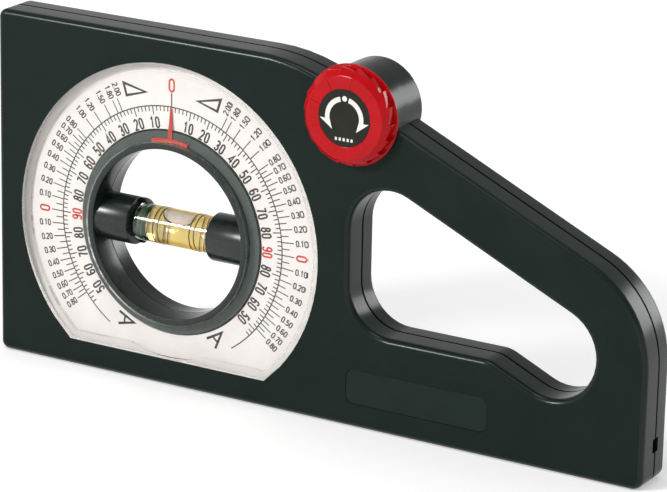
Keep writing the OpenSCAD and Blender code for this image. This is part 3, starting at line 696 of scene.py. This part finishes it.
tube = turned(
    "clear_vial_tube",
    [(VIAL_LEFT, VIAL_BORE_R + 0.1), (VIAL_LEFT, TUBE_R - 0.15), (VIAL_LEFT + 0.15, TUBE_R),
     (VIAL_RIGHT - 0.15, TUBE_R), (VIAL_RIGHT, TUBE_R - 0.15), (VIAL_RIGHT, VIAL_BORE_R),
     (VIAL_LEFT + 0.1, VIAL_BORE_R)],
    "x",
)
place_piece(tube, "rotor", "vial_tube", tube_clear)


def tube_mark(name, middle, half, inner, *sweep):
    """A thin printed band about the vial's axis."""
    outer = inner + 0.04
    outline = [(middle - half, inner), (middle + half, inner), (middle + half, outer), (middle - half, outer)]
    return turned(name, outline, "x", *sweep)


mark_paint = smooth_finish("brown_mark_paint", (66, 40, 22), (80, 50, 28), 0.4, edge_mm=0.03)
MARKS = (-6.2, -4.6, 6.7, 8.3)
marks = []
for k, middle in enumerate(MARKS):
    marks.append(tube_mark(f"far_mark_{k}", middle, 0.16, VIAL_BORE_R - 0.07, 95, 265, 48))
for k, middle in enumerate(MARKS):
    marks.append(tube_mark(f"near_mark_{k}", middle, 0.2, TUBE_R + 0.01))
place_piece(merge_into(*marks), "rotor", "vial_rings", mark_paint)

# %% [markdown]
# ### The bubble
# A bubble in a level lies against the tube's roof. Seen from the side it has a flat top and a round
# belly. A scaled sphere would hang in the middle of the tube, so the bubble is a row of round sections
# that all touch the roof and shrink towards both tips. The same sections, a hair larger, are the hollow
# in the liquid.

# %% Bubble shape
BUBBLE_MIDDLE, BUBBLE_HALF, BUBBLE_R = 0.4, 5.7, 2.1
ROUND_BELLY = math.radians(80.0)


def bubble_outlines(grow, steps=28, sides=40):
    """Round sections whose tops touch the tube's roof, and which shrink towards both tips."""
    outlines = []
    for k in range(steps + 1):
        turn = math.pi * (0.004 + 0.992 * k / steps)
        x = BUBBLE_MIDDLE - (BUBBLE_HALF + grow) * math.cos(turn)
        radius = BUBBLE_R * math.sin(turn) ** 0.62
        middle = VIAL_BORE_R - 0.06 - radius
        ring = []
        for n in range(sides):
            spin = 2 * math.pi * n / sides
            reach = radius + grow
            offset = Vector((x, -reach * math.cos(spin), middle + reach * math.sin(spin)))
            ring.append(DIAL + offset)
        outlines.append(ring)
    return outlines


bubble_air = smooth_finish(
    "bubble_air", (230, 214, 211), (238, 222, 219), 0.15, edge_mm=0.02, shine=0.2
)
air_tree = bubble_air.node_tree
fill(air_tree, air_tree.nodes["Principled BSDF"], Transmission_Weight=0.25, IOR=1.01)
bubble = solid_from_outlines("vial_air_bubble", bubble_outlines(-0.01), False, ROUND_BELLY)
place_piece(bubble, "rotor", "vial_bubble", bubble_air)

# %% Liquid with a tinted far side
FILL_LEFT, FILL_RIGHT = -9.2, 13.3

liquid = turned(
    "vial_filling", [(FILL_LEFT, 0), (FILL_LEFT, LIQUID_R), (FILL_RIGHT, LIQUID_R), (FILL_RIGHT, 0)], "x"
)
hollow = solid_from_outlines("vial_hollow", bubble_outlines(0.0), False, ROUND_BELLY)
hollow.data.flip_normals()

liquid_tint, liquid_tree, liquid_shader = new_finish("yellow_liquid_side")
yellow = clouded(liquid_tree, speckle(liquid_tree, 4.0), (250, 206, 66), (254, 216, 84))
fill(
    liquid_tree, liquid_shader, Base_Color=yellow, Roughness=0.0, IOR=1.36, Transmission_Weight=0.4
)


def on_far_wall(centre, reach):
    """True on the liquid's round skin, on the side away from the dial's front."""
    return centre.y > 0 and math.hypot(centre.y, centre.z - DIAL.z) > VIAL_BORE_R - 0.02


place_piece(merge_into(liquid, hollow), "rotor", "vial_liquid", liquid_clear)
second_finish(liquid, liquid_tint, on_far_wall)

# %% [markdown]
# ### The plugs
# A plug is pressed into each end of the tube. The left one shows: pale green where it stands free in
# the tube, with a sealing groove, and a darker green painted towards the liquid, a painted shade for
# the dark that the tube's end shows there. A ramp along the tube's axis paints both parts of one turned
# piece, so no second material is needed.

# %% Green plugs
DARK_FROM, DARK_TO = -10.7, -10.3
GROOVE_LEFT, GROOVE_RIGHT, GROOVE_R = -11.2, -10.9, 4.2

plug_green, plug_tree, plug_shader = new_finish("green_plug_plastic")
plug_x = along_axis(plug_tree, object_place(plug_tree), "X")
# The ramp paints the darker green towards the liquid: a painted shade.
darker = ramp(plug_tree, plug_x, (DIAL.x + DARK_FROM) * MM, (DIAL.x + DARK_TO) * MM)
pale_green = clouded(plug_tree, speckle(plug_tree, 2.0, 3.0), (52, 78, 54), (80, 104, 72))
green = two_colours(plug_tree, darker, pale_green, eye_colour(14, 48, 30))
fill(plug_tree, plug_shader, Base_Color=green, Roughness=0.25, Transmission_Weight=0.2)

left_plug = turned(
    "vial_end_plugs",
    [(VIAL_LEFT + 0.5, 0), (VIAL_LEFT + 0.5, 4.0), (VIAL_LEFT + 0.9, LIQUID_R), (GROOVE_LEFT, LIQUID_R),
     (GROOVE_LEFT, GROOVE_R), (GROOVE_RIGHT, GROOVE_R), (GROOVE_RIGHT, LIQUID_R),
     (FILL_LEFT - 0.02, LIQUID_R), (FILL_LEFT - 0.02, 0)],
    "x",
)
plug_r = VIAL_BORE_R - 0.02
right_plug = turned("right_plug", [(13.32, 0), (13.32, plug_r), (13.78, plug_r), (13.78, 0)], "x")
place_piece(merge_into(left_plug, right_plug), "rotor", "vial_plugs", plug_green)

# %% [markdown]
# ## The knob
# Eighteen steps run round the knob's grip, so that a thumb can push it either way. Each step grows
# slowly to a tip and then drops. The front face is divided in nine flats that tilt a hair, which shows
# as faint radial lines. Cutting steps out of a cylinder would leave poor faces. Here one outline is drawn
# for each angle, and its radius and face follow from one question: how far round its own step is it?

# %% Knob outline at one angle
STEPS, FLATS = 18, 9
STEP_TURN, FLAT_TURN = 360 / STEPS, 360 / FLATS
GRIP_R, STEP_R, FLANGE_R = 13.75, 0.8, 15.05
FACE_FRONT, FACE_TILT, FACE_R = -13.04, 0.16, 12.45
DISC_FLOOR, DISC_R, SCREW_R = -12.4, 8.5, 2.6
GRIP_BACK, FLANGE_FRONT, FLANGE_BACK, KNOB_BACK = -8.7, -8.5, -8.15, -8.05
HUB_R, HUB_FLOOR = 5.75, -8.95


def share_of(turn, period):
    """0 at the start of a step, nearly 1 at its tip."""
    return (turn % period) / period


def knob_outline(turn):
    """The closed outline (depth, radius) of the knob at this angle, in mm."""
    grip = GRIP_R + STEP_R * share_of(turn, STEP_TURN)
    face = FACE_FRONT + FACE_TILT * share_of(turn, FLAT_TURN)
    shoulder = face + 0.1 + 0.8 * (grip - FACE_R)
    return [
        (DISC_FLOOR, SCREW_R), (DISC_FLOOR, DISC_R), (face + 0.1, DISC_R), (face, DISC_R + 0.12),
        (face, FACE_R - 0.25), (face + 0.1, FACE_R), (shoulder, grip - 0.1), (shoulder + 0.2, grip),
        (GRIP_BACK, grip), (FLANGE_FRONT - 0.1, FLANGE_R - 0.12), (FLANGE_FRONT, FLANGE_R),
        (FLANGE_BACK, FLANGE_R), (KNOB_BACK, FLANGE_R - 0.1),
        (KNOB_BACK, HUB_R), (HUB_FLOOR, HUB_R), (HUB_FLOOR, SCREW_R),
    ]


# %% Knob
knob_outlines = []
for step in range(STEPS):
    for share in (0.0, 0.3, 0.62, 0.95):
        turn = (step + share) * STEP_TURN
        across, up = math.cos(math.radians(turn)), math.sin(math.radians(turn))
        knob_outlines.append(
            [KNOB + Vector((radius * across, depth, radius * up)) for depth, radius in knob_outline(turn)]
        )
grip_knob = solid_from_outlines("stepped_knob", knob_outlines, True, math.radians(12.0))
place_piece(grip_knob, "knob", "knob", knob_plastic)

# %% [markdown]
# ## Printing the scale
# A screen print is a film of ink a few hundredths of a millimetre thick. An image texture would go soft
# when it is seen from near, so every line and numeral here is a thin flat mesh that lies just above the
# plate. All of them are drawn with one pen: a ribbon that follows a row of points, with mitred corners.

# %% The pen
def path(*corners):
    """Points from plain pairs of numbers."""
    return [Vector(corner) for corner in corners]


def bend(x, y, rx, ry, start, end, steps=8):
    """Points of an arc about (x, y), from one angle to another, in degrees."""
    row = []
    for k in range(steps + 1):
        turn = math.radians(start + (end - start) * k / steps)
        row.append(Vector((x + rx * math.cos(turn), y + ry * math.sin(turn))))
    return row


def ribbon(points, width, closed=False):
    """Four-cornered pieces of a line of this width, as flat (x, z) points."""
    count = len(points)
    corners = []
    for i, point in enumerate(points):
        sides = []
        if closed or i > 0:
            sides.append((point - points[i - 1]).normalized())
        if closed or i < count - 1:
            sides.append((points[(i + 1) % count] - point).normalized())
        along = (sides[0] + sides[-1]).normalized()
        across = Vector((-along.y, along.x))
        reach = width / 2 / max(0.4, along.dot(sides[0]))
        corners.append((point - across * reach, point + across * reach))
    quads = []
    for i in range(count if closed else count - 1):
        a, b = corners[i]
        d, c = corners[(i + 1) % count]
        quads.append((a, d, c, b))
    return quads


# %% [markdown]
# ### Numerals
# The dial's numerals are tall, narrow and drawn with one width of line, as an engraver's are. A font
# would bring its own character and its own thick and thin, so each numeral is written here as a few
# strokes in a small cell: straight runs and parts of circles.

# %% Strokes of a numeral
def numeral_strokes(sign):
    """The strokes of one sign in a cell 0.5 wide and 1 high, each with whether it closes."""
    if sign == "0":
        return [(bend(0.25, 0.75, 0.25, 0.25, 180, 0) + bend(0.25, 0.25, 0.25, 0.25, 0, -180), True)]
    if sign == "1":
        return [(path((0.06, 0.8), (0.27, 1.0), (0.27, 0.0)), False)]
    if sign == "2":
        return [(bend(0.25, 0.75, 0.25, 0.25, 170, -35) + path((0.0, 0.0), (0.5, 0.0)), False)]
    if sign == "3":
        top = bend(0.24, 0.76, 0.23, 0.24, 160, -80)
        return [(top + bend(0.24, 0.27, 0.26, 0.27, 80, -160), False)]
    if sign == "4":
        return [(path((0.38, 0.0), (0.38, 1.0), (0.0, 0.28), (0.54, 0.28)), False)]
    if sign == "5":
        start = path((0.46, 1.0), (0.07, 1.0), (0.04, 0.56))
        return [(start + bend(0.24, 0.31, 0.26, 0.31, 120, -155), False)]
    if sign == "6":
        hook = bend(0.25, 0.75, 0.25, 0.25, 25, 180)
        return [(hook + bend(0.25, 0.27, 0.25, 0.27, 180, 520, 14), False)]
    if sign == "7":
        return [(path((0.0, 1.0), (0.5, 1.0), (0.18, 0.0)), False)]
    if sign == "8":
        upper = (bend(0.25, 0.76, 0.21, 0.24, -90, 250, 12), True)
        return [upper, (bend(0.25, 0.27, 0.25, 0.27, 90, 430, 14), True)]
    if sign == "9":
        six = numeral_strokes("6")[0][0]
        return [([Vector((0.5 - p.x, 1.0 - p.y)) for p in six], False)]
    return [(path((0.02, 0.0), (0.02, 0.14)), False)]


def text_strokes(text, height, spacing, narrow):
    """The strokes of a short number, centred on (0, 0), in mm. Narrow squeezes its width."""
    strokes = []
    edge = 0.0
    for sign in text:
        for row, closed in numeral_strokes(sign):
            strokes.append(([Vector((p.x + edge, p.y)) for p in row], closed))
        edge += (0.04 if sign == "." else 0.5) + spacing
    middle = Vector(((edge - spacing) / 2, 0.5))
    squeeze = Vector((height * narrow, height))
    return [([(p - middle) * squeeze for p in row], closed) for row, closed in strokes]


# %% [markdown]
# ### A sheet of print
# The printer puts down one ink at a time. Each ink is one mesh here too: a sheet that collects the
# faces of its lines and numerals, and becomes an object when the last of them is drawn.

# %% Sheet
class PrintSheet:
    """Flat ink on one plane that looks along -Y, about a centre in mm."""

    def __init__(self, name, centre, plane_y, ink, body, slot):
        self.name = name
        self.centre = centre
        self.plane_y = plane_y
        self.ink = ink
        self.body = body
        self.slot = slot
        self.mesh = bmesh.new()

    def face(self, corners):
        """One flat face that looks along -Y."""
        verts = []
        for corner in corners:
            spot = Vector((self.centre.x + corner.x, self.plane_y, self.centre.y + corner.y))
            verts.append(self.mesh.verts.new(spot * MM))
        made = self.mesh.faces.new(verts)
        made.normal_update()
        if made.normal.y > 0:
            made.normal_flip()

    def line(self, points, width, closed=False):
        for quad in ribbon(points, width, closed):
            self.face(quad)

    def text(self, text, height, pen, place, turn, spacing=0.2, narrow=1.0):
        """A number with its middle at place, turned counter-clockwise by turn in degrees."""
        spin = Matrix.Rotation(math.radians(turn), 2)
        for row, closed in text_strokes(text, height, spacing, narrow):
            self.line([place + spin @ p for p in row], pen, closed)

    def finish(self):
        """Turns the collected faces into a piece that rides on the sheet's body."""
        data = bpy.data.meshes.new(self.name)
        self.mesh.to_mesh(data)
        self.mesh.free()
        data.materials.append(self.ink)
        piece = bpy.data.objects.new(self.name, data)
        scene.collection.objects.link(piece)
        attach(piece, self.body)
        print(self.name, "has", len(data.polygons), "faces")


# %% Inks
def ink_finish(name, dark, light):
    """Dry ink: nearly flat in tone, with a very fine variation."""
    return smooth_finish(name, dark, light, 0.5, edge_mm=0.01, cloud_mm=0.6)


dark_ink = ink_finish("dark_print_ink", (32, 28, 26), (44, 40, 36))
red_ink = ink_finish("red_print_ink", (202, 44, 26), (214, 56, 34))
white_ink = ink_finish("white_print_ink", (236, 234, 228), (245, 243, 238))
print("inks:", dark_ink.name, red_ink.name, white_ink.name)

# %% [markdown]
# ### The layout of the dial
# One circle carries two scales. Inside it, degrees run from 0 at the top to 90 at each side and back
# down. Outside it, rise over run starts from 0 at each side: a rise of 1.00 stands 45 degrees from the
# side. So each mark's angle follows from an arctangent, and nothing is placed by eye.

# %% Places on the dial
PLATE_FRONT = -4.5
CIRCLE_R = 38.87
dial_middle = Vector((DIAL.x, DIAL.z))


def clock(angle, radius):
    """The point at this angle from the top, clockwise, in degrees."""
    turn = math.radians(angle)
    return Vector((math.sin(turn), math.cos(turn))) * radius


def rise_angle(rise):
    """How far from the side a rise stands, in degrees."""
    return math.degrees(math.atan(rise))


scale_print = PrintSheet("scale_print", dial_middle, PLATE_FRONT - 0.015, dark_ink, "case", "dial_white")
red_print = PrintSheet("scale_print_red", dial_middle, PLATE_FRONT - 0.02, red_ink, "case", "dial_white")

# %% Circle and degree marks
CIRCLE_END, CIRCLE_STEPS = 146.0, 180
LAST_DEGREE = 134
TEN_MARK, TWO_MARK = 2.7, 1.55
CIRCLE_PEN, DEGREE_PEN, RISE_PEN, TOP_PEN = 0.36, 0.34, 0.32, 0.4

circle = [
    clock(-CIRCLE_END + 2 * CIRCLE_END * k / CIRCLE_STEPS, CIRCLE_R) for k in range(CIRCLE_STEPS + 1)
]
scale_print.line(circle, CIRCLE_PEN)
for degree in range(-LAST_DEGREE, LAST_DEGREE + 1, 2):
    if degree != 0:
        length = TEN_MARK if degree % 10 == 0 else TWO_MARK
        ends = [clock(degree, CIRCLE_R), clock(degree, CIRCLE_R - length)]
        scale_print.line(ends, DEGREE_PEN)

# %% Degree numerals
DEGREE_TEXT_R = 33.8

for side in (-1, 1):
    for angle in range(10, 140, 10):
        shown = angle if angle <= 90 else 180 - angle
        sheet = red_print if shown == 90 else scale_print
        place = clock(side * angle, DEGREE_TEXT_R)
        sheet.text(str(shown), 3.1, 0.56, place, -side * angle, spacing=0.36, narrow=0.7)
print("degree numerals drawn out to", angle, "degrees from the top")

# %% Rise marks and numerals
RISE_TEXT_R = 45.75
MAKE_ROOM = 1.3


def rise_mark(side, angle, rise_text, is_long):
    """A mark outside the circle, with its number read from the dial's middle."""
    reach = CIRCLE_R + (4.2 if is_long else 2.6)
    scale_print.line([clock(side * angle, CIRCLE_R), clock(side * angle, reach)], RISE_PEN)
    if rise_text:
        turn = -side * angle + (90 if side > 0 else -90)
        label = angle - MAKE_ROOM if rise_text == "2.00" else angle
        place = clock(side * label, RISE_TEXT_R)
        scale_print.text(rise_text, 1.7, 0.38, place, turn, spacing=0.26, narrow=0.95)


for side in (-1, 1):
    for step in range(-16, 17):
        rise = abs(step) * 0.05
        angle = 90 - math.copysign(rise_angle(rise), step)
        named = step % 2 == 0 and step != 0
        rise_mark(side, angle, f"{rise:.2f}" if named else "", step % 2 == 0)
    for rise in (1.0, 1.2, 1.5, 1.8, 2.0):
        rise_mark(side, 90 - rise_angle(rise), f"{rise:.2f}", True)
    red_print.text("0", 3.3, 0.58, clock(side * 90, 45.6), -side * 90, narrow=0.9)

# %% The top of the dial
scale_print.line([clock(0, CIRCLE_R), clock(0, 43.2)], TOP_PEN)
red_print.text("0", 3.7, 0.58, clock(0, 45.5), 0, narrow=0.9)

# %% [markdown]
# ### Signs in place of words
# The two scales are named by little signs: a slope triangle for rise over run, and an opened angle with
# its arc for degrees. Both are drawn with the same pen as the numerals.

# %% Signs
def sign_spot(angle, radius, size):
    """Turns points of a sign into points of the dial, upright at this angle."""
    spin = Matrix.Rotation(math.radians(-angle), 2)
    middle = clock(angle, radius)
    return lambda points: [middle + spin @ (p * size) for p in points]


def slope_sign(angle, radius, size):
    """A right triangle with its upright side on the outer end of the run."""
    side = 1 if angle > 0 else -1
    triangle = path((-side * 0.9, -0.5), (side * 0.9, -0.5), (side * 0.9, 0.5))
    scale_print.line(sign_spot(angle, radius, size)(triangle), 0.8, True)


def angle_sign(angle, radius, size):
    """Two arms and the arc between them."""
    on_dial = sign_spot(angle, radius, size)
    scale_print.line(on_dial(path((0.9, -0.5), (-0.9, -0.5), (0.45, 0.62))), 0.8)
    scale_print.line(on_dial(bend(-0.9, -0.5, 1.05, 1.05, 0, 40)), 0.6)


for side in (-1, 1):
    slope_sign(side * 17.0, 44.9, 3.9)
    angle_sign(side * 152.0, 35.0, 3.3)
scale_print.finish()
red_print.finish()

# %% [markdown]
# ### The knob's inlay
# The disc in the knob shows which way it turns: two arrows leave a dot at the top and bend down on both
# sides. Under them stands a row of five plain bars.

# %% Turning arrows
DISC_INK_Y = -12.915
ARROW_R, ARROW_START, ARROW_TURN = 5.6, 14, 83

arrow_print = PrintSheet("knob_print", Vector((KNOB.x, KNOB.z)), DISC_INK_Y, white_ink, "knob", "disc_dark")
arrow_print.face(bend(0, 5.75, 0.82, 0.82, 0, 337.5, 15))
for side in (-1, 1):
    shaft = [clock(side * (ARROW_START + ARROW_TURN * k / 18), ARROW_R) for k in range(19)]
    arrow_print.line(shaft, 1.45)
    barbs = ((97, 6.32), (95, 8.1), (133, 5.4), (97, 4.88))
    arrow_print.face([clock(side * angle, radius) for angle, radius in barbs])
for step in (-2, -1, 0, 1, 2):
    arrow_print.line(path((step * 1.3 - 0.35, -6.3), (step * 1.3 + 0.35, -6.3)), 0.9)
arrow_print.finish()

# %% [markdown]
# ## The studio
# The tool stands on a pale table in a white room. The camera, shiny pieces and clear pieces see both as
# white, apart from the ceiling, which is greyer to keep the upper sides of the tool deep. More light
# would make the background white as well, but it would wash the colours out. So only what is seen
# directly is white, and the light that falls on the tool stays at a plain level.

# %% White room
ROOM_LIGHT, CEILING_GREY = 0.55, 0.45


def seen_directly(tree):
    """1 for the camera, reflections and refractions, 0 for light that spreads."""
    return any_ray(tree, "Is Camera Ray", "Is Glossy Ray", "Is Transmission Ray")


world = bpy.data.worlds.new("white_room")
world.use_nodes = True
scene.world = world
room = world.node_tree
room_light = fill(room, room.nodes["Background"], Color=WHITE, Strength=ROOM_LIGHT)
direction = room.nodes.new("ShaderNodeTexCoord").outputs["Generated"]
ceiling = ramp(room, along_axis(room, direction, "Z"), 0.1, 0.4, 1.0, CEILING_GREY)
room_white = add_node(room, "ShaderNodeBackground", Color=WHITE, Strength=ceiling)
room_seen = choose_shader(
    room, seen_directly(room), room_light.outputs["Background"], room_white.outputs["Background"]
)
fill(room, room.nodes["World Output"], Surface=room_seen)
print("room light:", ROOM_LIGHT)

# %% Pale table
TABLE_R, TABLE_GLOW = 3.0, 0.3

table_mesh = bmesh.new()
bmesh.ops.create_circle(table_mesh, cap_ends=True, radius=TABLE_R, segments=96)
table_data = bpy.data.meshes.new("table")
table_mesh.to_mesh(table_data)
table_mesh.free()
table = bpy.data.objects.new("table", table_data)
table.location = (0.0, 0.0, -0.00005)
scene.collection.objects.link(table)

table_paint, table_tree, table_shader = new_finish("table_white")
fill(
    table_tree, table_shader, Base_Color=(0.86, 0.86, 0.86, 1.0), Roughness=0.9, Specular_IOR_Level=0.0
)
glow_level = ramp(table_tree, seen_directly(table_tree), 0.0, 1.0, 0.0, TABLE_GLOW)
glow = add_node(table_tree, "ShaderNodeEmission", Color=WHITE, Strength=glow_level)
paint_and_glow = table_tree.nodes.new("ShaderNodeAddShader")
feed(table_tree, table_shader.outputs["BSDF"], paint_and_glow.inputs[0])
feed(table_tree, glow.outputs["Emission"], paint_and_glow.inputs[1])
fill(table_tree, table_tree.nodes["Material Output"], Surface=paint_and_glow.outputs["Shader"])
table_data.materials.append(table_paint)
print("table is", 2 * TABLE_R, "m across")

# %% [markdown]
# ### Lamps
# Three rectangular lamps light the tool. The key lamp stands at the front left and is small, so that
# the ring and the knob throw a shadow. The top lamp softens it. The side lamp stands behind, where the
# knob's barrel and the walls of the openings mirror it to the camera as bright bands.

# %% Soft lamps
def soft_lamp(name, place, aim, width, height, power):
    """A rectangular lamp at place that shines on aim."""
    lamp_data = bpy.data.lights.new(name, "AREA")
    lamp_data.shape = "RECTANGLE"
    lamp_data.size = width
    lamp_data.size_y = height
    lamp_data.energy = power
    lamp = bpy.data.objects.new(name, lamp_data)
    lamp.location = place
    lamp.rotation_euler = (Vector(aim) - Vector(place)).to_track_quat("-Z", "Y").to_euler()
    lamp.visible_camera = False
    scene.collection.objects.link(lamp)


soft_lamp("key_lamp", (-0.95, -1.4, 0.98), (0.0, 0.0, 0.05), 0.34, 0.34, 19.0)
soft_lamp("top_lamp", (-0.1, -0.5, 1.7), (0.0, 0.0, 0.05), 0.7, 0.5, 4.0)
soft_lamp("side_lamp", (0.72, 1.25, 0.38), (0.0, 0.0, 0.06), 0.3, 0.6, 4.2)

scene.view_settings.view_transform = "Standard"
